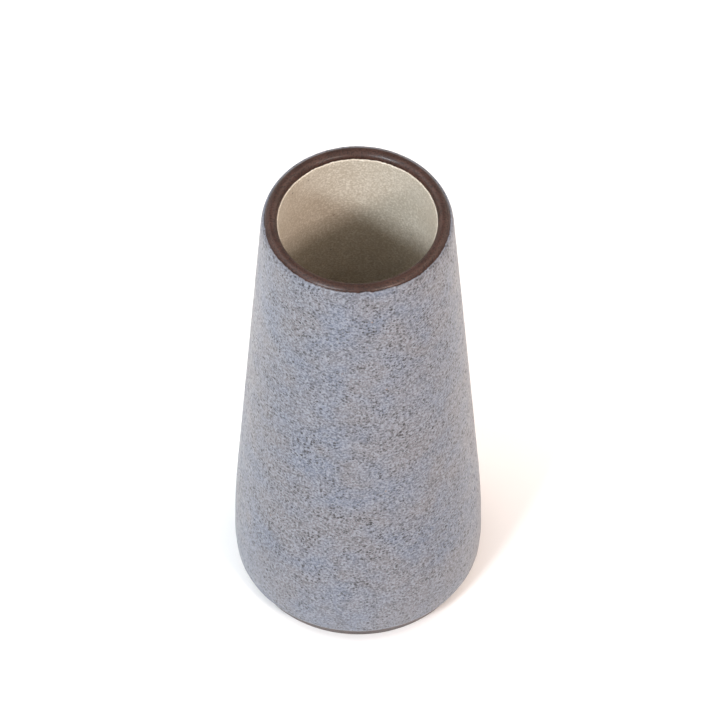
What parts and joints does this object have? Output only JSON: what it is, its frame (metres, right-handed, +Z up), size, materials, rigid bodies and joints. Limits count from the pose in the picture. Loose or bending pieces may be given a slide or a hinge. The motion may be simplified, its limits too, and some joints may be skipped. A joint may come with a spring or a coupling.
{
  "type": "bud vase",
  "caption": "Tapered round stoneware bud vase with a bare rounded rim, a speckled satin outer glaze, a pale liner glaze and a trimmed, undercut bare foot.",
  "frame": {"origin": "centre of the foot, on the surface that the vase stands on", "axes": "+Z up along the vase's own axis, out of its mouth; the vase is round, so +X and +Y are any two square directions"},
  "size_m": [0.075, 0.075, 0.161],
  "materials": {
    "bare_clay": "bare fired dark brown stoneware, dry satin",
    "speckled_glaze": "satin blue-grey glaze with fine dark specks",
    "liner_glaze": "satin cream glaze with sparse rust specks"
  },
  "bodies": {
    "root": {"clay_body": "bare_clay", "outer_glaze": "speckled_glaze", "liner_glaze": "liner_glaze"}
  },
  "joints": []
}
